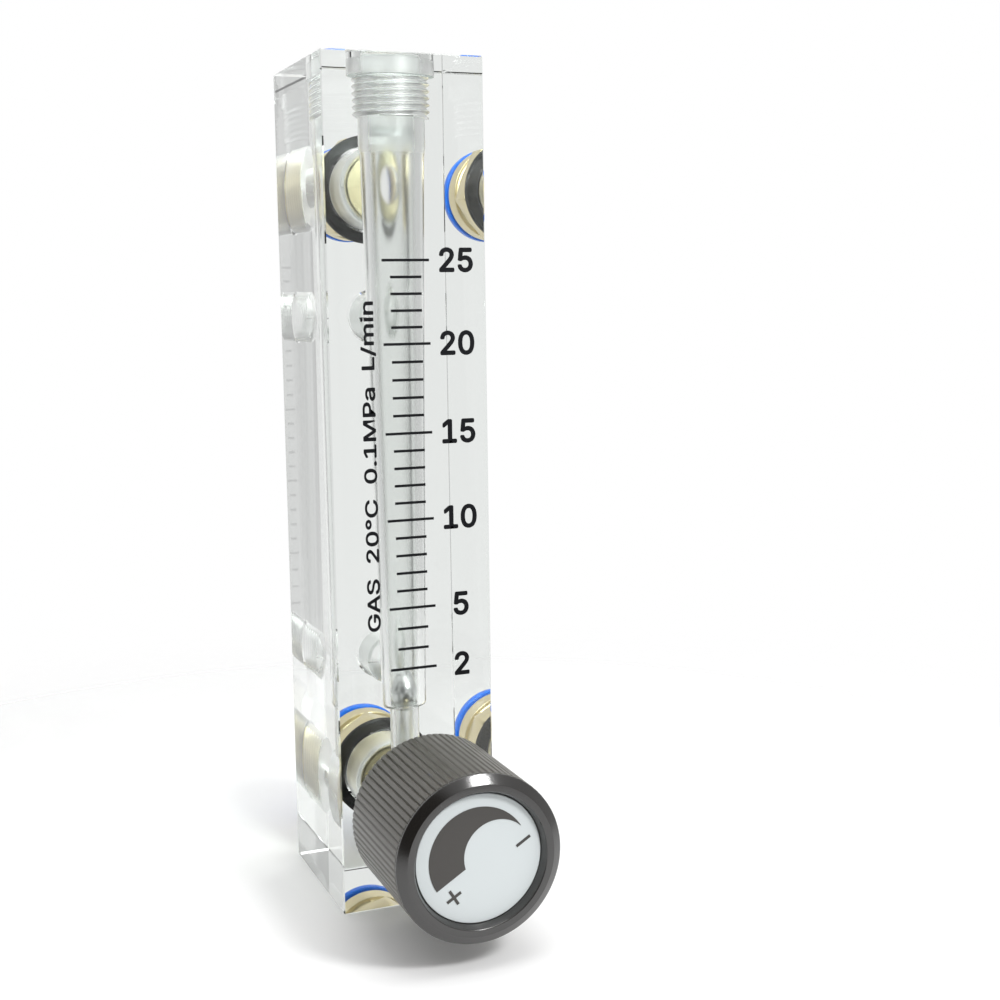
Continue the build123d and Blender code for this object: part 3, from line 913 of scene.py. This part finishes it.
def build_block():
    """The block with its tube, plug hole, valve chamber, ports and mounting holes cut out."""
    half = (block_high.x - block_low.x) / 2
    blank = box_mesh((-half, front_y, 0), (half, rear_y, block_top))
    blank = softened(blank, BLOCK_EDGE, segments=1)
    head = PLUG_HEAD_RADIUS + PLUG_HEAD_GAP
    nose = PLUG_NOSE_RADIUS + NOSE_GAP
    tube = turned(
        (
            (0, valve_height),
            (PASSAGE_RADIUS, valve_height),
            (PASSAGE_RADIUS, TUBE_FLOOR),
            (TUBE_BOTTOM_RADIUS, TUBE_FLOOR, TUBE_FLOOR_ROUND),
            (TUBE_TOP_RADIUS, plug_nose_end - PLUG_CONE_HEIGHT),
            (nose, plug_nose_end),
            (nose, plug_seat),
            (head, plug_seat),
            (head, block_top + CUTTER_OVERRUN),
            (0, block_top + CUTTER_OVERRUN),
        )
    )
    plug_thread = threaded(PLUG_THREAD, PLUG_THREAD_LENGTH + PLUG_THREAD_OVERRUN, gap=THREAD_GAP)
    port_floor = front_y - rear_y + PORT_DEPTH
    chamber = turned(
        (
            (0, port_floor),
            (SEAT_RADIUS, port_floor),
            (SEAT_RADIUS, -CHAMBER_DEPTH),
            (CHAMBER_RADIUS, -CHAMBER_DEPTH, CHAMBER_ROUND),
            (CHAMBER_RADIUS, CUTTER_OVERRUN),
            (0, CUTTER_OVERRUN),
        )
    )
    cutters = [placed(tube, on_tube()), placed(lengthwise(plug_thread, plug_thread_end), on_tube())]
    for cutter in (chamber, threaded_hole(BUSH_THREAD, -BUSH_END), mouth(BUSH_THREAD)):
        cutters.append(placed(cutter, out_of_front()))
    for height in port_heights.values():
        for cutter in (threaded_hole(PORT_THREAD, PORT_DEPTH), mouth(PORT_THREAD)):
            cutters.append(placed(cutter, out_of_rear(height)))
    cross_hole = turned(
        (
            (0, tube_y - rear_y),
            (CROSS_HOLE_RADIUS, tube_y - rear_y),
            (CROSS_HOLE_RADIUS, -PORT_DEPTH / 2),
            (0, -PORT_DEPTH / 2),
        )
    )
    cutters.append(placed(cross_hole, out_of_rear(port_heights["upper"])))
    middle = sum(port_heights.values()) / 2
    for height in (middle - MOUNT_SPACING / 2, middle + MOUNT_SPACING / 2):
        for cutter in (threaded_hole(MOUNT_THREAD, MOUNT_DEPTH, MOUNT_POINT), mouth(MOUNT_THREAD)):
            cutters.append(placed(cutter, out_of_rear(height)))
    block = cleaned(combined(blank, cutters, "DIFFERENCE"))
    piece("clear_block", block, block_acrylic, "block", "flow_block")


def build_plug():
    """The clear plug, with its thread, slot and groove."""
    groove = (plug_thread_end + plug_nose_end) / 2
    body = turned(
        (
            (0, plug_nose_end),
            (PLUG_NOSE_RADIUS, plug_nose_end, PLUG_BEVEL),
            (PLUG_NOSE_RADIUS, groove - PLUG_GROOVE_HALF),
            (PLUG_GROOVE_RADIUS, groove - PLUG_GROOVE_HALF, PLUG_GROOVE_ROUND),
            (PLUG_GROOVE_RADIUS, groove + PLUG_GROOVE_HALF, PLUG_GROOVE_ROUND),
            (PLUG_NOSE_RADIUS, groove + PLUG_GROOVE_HALF),
            (PLUG_NOSE_RADIUS, plug_seat),
            (PLUG_HEAD_RADIUS, plug_seat),
            (PLUG_HEAD_RADIUS, block_top, PLUG_BEVEL),
            (0, block_top),
        )
    )
    thread = threaded(PLUG_THREAD, PLUG_THREAD_LENGTH, plug_acrylic, tip=PLUG_THREAD_TIP)
    plug = combined(body, [lengthwise(thread, plug_thread_end + NOSE_GAP)], "UNION")
    slot = box_mesh(
        (-2 * PLUG_HEAD_RADIUS, -PLUG_SLOT_WIDTH / 2, block_top - PLUG_SLOT_DEPTH),
        (2 * PLUG_HEAD_RADIUS, PLUG_SLOT_WIDTH / 2, block_top + CUTTER_OVERRUN),
    )
    plug = placed(cleaned(combined(plug, [slot], "DIFFERENCE")), on_tube())
    piece("clear_plug", plug, plug_acrylic, "block", "top_plug")


def build_bush():
    """The brass bush: hexagon, thread and stepped bore."""
    core = turned(
        (
            (GLAND_RADIUS, BUSH_END),
            (BUSH_CORE_RADIUS, BUSH_END),
            (BUSH_CORE_RADIUS, BUSH_FRONT - BUSH_CORE_SINK),
            (BUSH_BORE_RADIUS, BUSH_FRONT - BUSH_CORE_SINK, BUSH_BORE_ROUND),
            (BUSH_BORE_RADIUS, GLAND_SHOULDER),
            (GLAND_RADIUS, GLAND_SHOULDER),
        ),
        closed=True,
    )
    thread = threaded(
        BUSH_THREAD,
        GASKET_THICKNESS - BUSH_END + THREAD_OVERLAP,
        front_brass,
        bore=THREAD_BORE_RADIUS,
        tip=BUSH_THREAD_TIP,
    )
    head = hexagon(
        BUSH_HEX_WIDTH, GASKET_THICKNESS, BUSH_FRONT, BUSH_BEVEL, 0, BUSH_HEX_BORE_RADIUS
    )
    bush = together(core, lengthwise(thread, BUSH_END), softened(head, BUSH_HEX_SOFTNESS))
    piece("bush", placed(bush, out_of_front()), front_brass, "block", "valve_bush")


def build_gasket(name, inner, matrix, replaced):
    """A flat black gasket with a rounded rim."""
    ring = turned(
        (
            (inner, GASKET_GAP),
            (GASKET_RADIUS, GASKET_GAP, GASKET_ROUND),
            (GASKET_RADIUS, GASKET_THICKNESS - GASKET_GAP, GASKET_ROUND),
            (inner, GASKET_THICKNESS - GASKET_GAP),
        ),
        closed=True,
    )
    piece(name, placed(ring, matrix), rubber, "block", replaced)


def build_stem():
    """The turned stem with its needle and piston."""
    mesh = placed(turned(STEM_OUTLINE), out_of_front())
    piece("stem", mesh, steel, "stem", "valve_stem")


def build_knob():
    """The fluted knob with its bevelled bezel and hub, and the dial in its recess."""
    bezel_rear = KNOB_FRONT - BEZEL_LENGTH
    outline = (
        (KNOB_BORE_RADIUS, HUB_END),
        (KNOB_BORE_RADIUS, HUB_FLOOR),
        (SCREW_HOLE_RADIUS, HUB_FLOOR),
        (SCREW_HOLE_RADIUS, SCREW_SEAT),
        (SCREW_RECESS_RADIUS, SCREW_SEAT),
        (SCREW_RECESS_RADIUS, DIAL_SEAT),
        (DIAL_RADIUS + DIAL_GAP, DIAL_SEAT),
        (DIAL_RADIUS + DIAL_GAP, DIAL_SEAT + DIAL_THICKNESS),
        (CREST_RADIUS - CREST_WIDTH, KNOB_FRONT, KNOB_FINE_ROUND),
        (CREST_RADIUS, KNOB_FRONT, CREST_ROUND),
        (BEZEL_RADIUS, KNOB_FRONT - BEZEL_SLOPE_LENGTH, BEZEL_ROUND),
        (BEZEL_RADIUS, bezel_rear),
        (FLUTE_RADIUS, bezel_rear, FLUTE_END_ROUND),
        (FLUTE_RADIUS, KNOB_REAR, KNOB_ROUND),
        (SKIRT_RADIUS, KNOB_REAR, KNOB_FINE_ROUND),
        (SKIRT_RADIUS, HUB_FLOOR, KNOB_ROUND),
        (HUB_RADIUS, HUB_FLOOR, KNOB_ROUND),
        (HUB_RADIUS, HUB_END, KNOB_FINE_ROUND),
    )
    values = {
        "Count": float(FLUTE_COUNT),
        "Depth": FLUTE_DEPTH,
        "Skin Radius": FLUTE_RADIUS,
        "Front": bezel_rear,
    }
    blank = turned(outline, FLUTE_COUNT * COLUMNS_PER_FLUTE, closed=True)
    mesh = cleaned(made_by(flute_nodes, values, knob_plastic, blank))
    piece("fluted_knob", placed(mesh, out_of_front()), knob_plastic, "knob", "knob")
    plate = turned(
        (
            (0, DIAL_SEAT),
            (DIAL_RADIUS, DIAL_SEAT),
            (DIAL_RADIUS, DIAL_SEAT + DIAL_THICKNESS, DIAL_ROUND),
            (0, DIAL_SEAT + DIAL_THICKNESS),
        )
    )
    piece("dial", placed(plate, out_of_front()), dial_silver, "knob", "dial_plate")


def build_fitting(end):
    """A brass fitting: thread, hexagon, neck and rim, with the stepped bore for the hose."""
    middle = (FITTING_HEX_FRONT + RIM_REAR) / 2
    neck = [
        (NECK_RADIUS - NECK_HALF * cos(radians(angle)), middle + NECK_HALF * sin(radians(angle)))
        for angle in NECK_ANGLES
    ]
    outline = [
        (CROSS_HOLE_RADIUS, FITTING_END),
        (CROSS_HOLE_RADIUS, HOSE_STOP),
        (HOSE_RADIUS, HOSE_STOP),
        (HOSE_RADIUS, SEAL_SEAT),
        (POCKET_RADIUS, SEAL_SEAT),
        (POCKET_RADIUS, CLAW_SEAT),
        (CARTRIDGE_RADIUS, CLAW_SEAT),
        (CARTRIDGE_RADIUS, RIM_FRONT, RIM_MOUTH_ROUND),
        (RIM_RADIUS, RIM_FRONT, RIM_FRONT_ROUND),
        (RIM_RADIUS, RIM_REAR, RIM_REAR_ROUND),
        (NECK_RADIUS, RIM_REAR),
        *neck,
        (NECK_RADIUS, FITTING_HEX_FRONT),
        (NECK_RADIUS - NECK_DRAFT, GASKET_THICKNESS),
        (FITTING_CORE_RADIUS, GASKET_THICKNESS),
        (FITTING_CORE_RADIUS, FITTING_END),
    ]
    core = turned(outline, closed=True)
    thread = threaded(
        PORT_THREAD,
        GASKET_THICKNESS - FITTING_END + THREAD_OVERLAP,
        rear_brass[end],
        bore=THREAD_BORE_RADIUS,
        tip=FITTING_THREAD_TIP,
    )
    # The thread is turned until its crests stand in the grooves of the port's thread
    turns_in = (FITTING_END + PORT_DEPTH) / PORT_THREAD[2]
    thread = placed(thread, Matrix.Rotation(tau * turns_in, 4, "Z"))
    head = hexagon(
        FITTING_HEX_WIDTH,
        GASKET_THICKNESS,
        FITTING_HEX_FRONT,
        FITTING_BEVEL,
        HEX_TURNS[end],
        FITTING_HEX_BORE_RADIUS,
    )
    body = together(core, lengthwise(thread, FITTING_END), softened(head, FITTING_HEX_SOFTNESS))
    body = placed(body, out_of_rear(port_heights[end]))
    piece(end + "_fitting", body, rear_brass[end], "block", end + "_fitting_body")


def build_collar(end):
    """The blue collar: a rounded flange and a sleeve."""
    outline = (
        (HOSE_RADIUS, SLEEVE_END),
        (SLEEVE_TIP_RADIUS, SLEEVE_END),
        (SLEEVE_RADIUS, SLEEVE_END + SLEEVE_TIP_LENGTH),
        (SLEEVE_RADIUS, COLLAR_REAR, SLEEVE_ROUND),
        (COLLAR_RADIUS, COLLAR_REAR, COLLAR_REAR_ROUND),
        (COLLAR_RADIUS, COLLAR_FRONT, COLLAR_FRONT_ROUND),
        (HOSE_RADIUS, COLLAR_FRONT, COLLAR_MOUTH_ROUND),
    )
    ring = placed(turned(outline, closed=True), out_of_rear(port_heights[end]))
    body, replaced = end + "_collar", end + "_release_collar"
    piece(end + "_collar_ring", ring, blue_plastic, body, replaced)


def build_ball():
    """The steel ball, where the frame has it."""
    made = bmesh.new()
    radius = (ball_high.z - ball_low.z) / 2
    bmesh.ops.create_uvsphere(made, u_segments=SEGMENTS, v_segments=BALL_RINGS, radius=radius)
    bmesh.ops.translate(made, verts=made.verts, vec=(ball_low + ball_high) / 2)
    piece("steel_ball", finished_mesh(made), ball_steel, "float", "float_ball")


# Print


print_font = bpy.data.fonts.load(bpy.utils.resource_path("LOCAL") + PRINT_FONT)


def written(words, height, bold):
    """Flat text of this height in the XY plane, made bolder by copies shifted round a circle."""
    curve = bpy.data.curves.new("words", "FONT")
    curve.body = words
    curve.font = print_font
    curve.resolution_u = ARC_STEPS
    thing = bpy.data.objects.new("words", curve)
    bpy.context.scene.collection.objects.link(thing)
    mesh = evaluated(thing)
    low = Vector(min(v.co[axis] for v in mesh.vertices) for axis in range(3))
    high = Vector(max(v.co[axis] for v in mesh.vertices) for axis in range(3))
    scale = (height - 2 * bold) / (high.y - low.y)
    mesh.transform(Matrix.Scale(scale, 4) @ Matrix.Translation(-low))
    copies = []
    for n in range(BOLD_COPIES):
        angle = tau * n / BOLD_COPIES
        shift = (bold + bold * cos(angle), bold + bold * sin(angle), n * COPY_RISE)
        copies.append(placed(mesh.copy(), Matrix.Translation(shift)))
    return together(*copies)


def width_of(mesh):
    return max(v.co.x for v in mesh.vertices)


def long_tick_heights():
    """The middles of the ticks that reach furthest to the right, from the lowest up."""
    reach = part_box("scale_marks")[1].x / MM
    corners = [vertex.co / MM for vertex in frame["nodes"]["scale_marks"].data.vertices]
    far = [corner for corner in corners if corner.x > reach - LONG_TICK_MARGIN]
    edges = sorted({round(corner.z, 2) for corner in far})
    return [(low + high) / 2 for low, high in zip(edges[::2], edges[1::2])]


def build_print():
    """The numbers beside the long ticks and the gas and unit up the left side."""
    numbers = []
    for flow, height in zip(NUMBERED_FLOWS, long_tick_heights()):
        mesh = written(str(flow), NUMBER_HEIGHT, NUMBER_BOLD)
        centre = NUMBER_CENTRE - (ONE_FIGURE_SHIFT if flow < 10 else 0)
        corner = (centre - width_of(mesh) / 2, height - NUMBER_HEIGHT / 2, PRINT_RAISE)
        numbers.append(placed(mesh, Matrix.Translation(corner)))
    face = Matrix(((1, 0, 0, 0), (0, 0, -1, front_y), (0, 1, 0, 0), (0, 0, 0, 1)))
    piece("scale_numbers", placed(together(*numbers), face), ink, "block")
    words = written(GAS_TEXT, GAS_TEXT_HEIGHT, GAS_TEXT_BOLD)
    stretch = GAS_TEXT_LENGTH / width_of(words)
    words.transform(Matrix.Diagonal((stretch, 1, 1, 1)))
    words.transform(
        Matrix.Translation((GAS_TEXT_CENTRE + GAS_TEXT_HEIGHT / 2, GAS_TEXT_BOTTOM, PRINT_RAISE))
        @ Matrix.Rotation(pi / 2, 4, "Z")
    )
    piece("gas_text", placed(words, face), ink, "block")


def paint_nodes(material, *names):
    """Gives a material to CAD nodes that stay."""
    for name in names:
        mesh = frame["nodes"][name].data
        mesh.materials.clear()
        mesh.materials.append(material)


build_block()
build_plug()
build_bush()
build_gasket("bush_washer", BUSH_GASKET_BORE, out_of_front(), "bush_gasket")
build_stem()
build_knob()
build_ball()
build_print()
for end, height in port_heights.items():
    build_fitting(end)
    build_gasket(end + "_washer", PORT_GASKET_BORE, out_of_rear(height), end + "_fitting_gasket")
    build_collar(end)
    paint_nodes(rubber, end + "_tube_seal")
    paint_nodes(claw_steel, end + "_collet_claw")
    paint_nodes(rear_brass[end], end + "_collet_guide")
paint_nodes(ink, "scale_marks")
paint_nodes(seal_silicone, "plug_seal")
paint_nodes(rubber, "stem_seal")
paint_nodes(steel, "knob_screw")
paint_nodes(dial_ink, "dial_marks")


# Stage: floor, lights, world and camera


def build_floor():
    """A white floor that fades into the white background away from the object."""
    half = FLOOR_SIZE * MM
    mesh = bpy.data.meshes.new("floor")
    corners = [(-half, -half, 0), (half, -half, 0), (half, half, 0), (-half, half, 0)]
    mesh.from_pydata(corners, [], [(0, 1, 2, 3)])
    material, tree = new_material("floor_white")
    x, y = tree.ways(object_place(tree))[:2]
    fade = tree.smooth((x * x + y * y) ** 0.5, *FLOOR_FADE)
    white = surface(tree, Base_Color=FLOOR_WHITE, Roughness=FLOOR_ROUGHNESS)
    clear = tree.node("ShaderNodeBsdfTransparent")
    shown(tree, tree.node("ShaderNodeMixShader", None, {0: fade, 1: white, 2: clear}))
    mesh.materials.append(material)
    floor = bpy.data.objects.new("floor", mesh)
    floor.location.z = -FLOOR_GAP * MM
    bpy.context.scene.collection.objects.link(floor)


def darker(tree, way, begins, full, amount):
    """What a dark part of the studio takes from its level."""
    return amount * tree.smooth(way, begins, full)


def build_world():
    """White behind the object, and a soft studio with darker sides in what it bends and mirrors."""
    world = bpy.data.worlds.new("studio")
    world.use_nodes = True
    world.node_tree.nodes.clear()
    tree = Tree(world.node_tree)
    across, ahead, up = tree.ways(tree.node("ShaderNodeTexCoord", output=0))
    towards_card = across * CARD_WAY[0] + ahead * CARD_WAY[1] + up * CARD_WAY[2]
    shade = STUDIO_LEVEL - darker(tree, abs(across), *SIDES_DARKER)
    shade = shade - darker(tree, 0.0 - ahead, *BEHIND_DARKER)
    shade = shade - darker(tree, 0.0 - up, *BELOW_DARKER)
    shade = tree.most(shade - darker(tree, towards_card, *CARD_DARKER), STUDIO_LEAST)
    camera = tree.node("ShaderNodeLightPath", output=0)
    level = camera + (1.0 - camera) * shade
    white = {"Color": (1, 1, 1, 1), "Strength": level}
    background = tree.node("ShaderNodeBackground", None, white)
    tree.node("ShaderNodeOutputWorld", None, {"Surface": background})
    bpy.context.scene.world = world


def add_lamp(name, place, size, power, target):
    """A soft square lamp that faces a target."""
    lamp = bpy.data.lights.new(name, "AREA")
    lamp.size = size * MM
    lamp.energy = power
    thing = bpy.data.objects.new(name, lamp)
    thing.location = Vector(place) * MM
    facing = (Vector(place) - Vector(target)).normalized()
    thing.rotation_euler = facing.to_track_quat("Z", "Y").to_euler()
    bpy.context.scene.collection.objects.link(thing)


def build_camera():
    """The photograph's camera."""
    camera = bpy.data.cameras.new("camera")
    camera.lens = CAMERA_LENS
    camera.sensor_width = CAMERA_SENSOR
    thing = bpy.data.objects.new("camera", camera)
    pitch = radians(CAMERA_PITCH)
    flat = Vector((*CAMERA_FORWARD, 0)).normalized()
    forward = flat * cos(pitch) - Vector((0, 0, sin(pitch)))
    turn = Matrix.Rotation(radians(-CAMERA_ROLL), 4, forward)
    upright = (-forward).to_track_quat("Z", "Y").to_matrix().to_4x4()
    thing.matrix_world = Matrix.Translation(Vector(CAMERA_PLACE) * MM) @ turn @ upright
    bpy.context.scene.collection.objects.link(thing)
    bpy.context.scene.camera = thing


build_floor()
build_world()
add_lamp("key", place=(100, -230, 225), size=60, power=0.55, target=(0, 0, 40))
add_lamp("fill", place=(20, -60, 300), size=160, power=0.22, target=(0, 0, 64))
build_camera()
bpy.context.scene.view_settings.view_transform = "Standard"
bpy.context.scene.cycles.max_bounces = LIGHT_BOUNCES
bpy.context.scene.cycles.transmission_bounces = LIGHT_BOUNCES
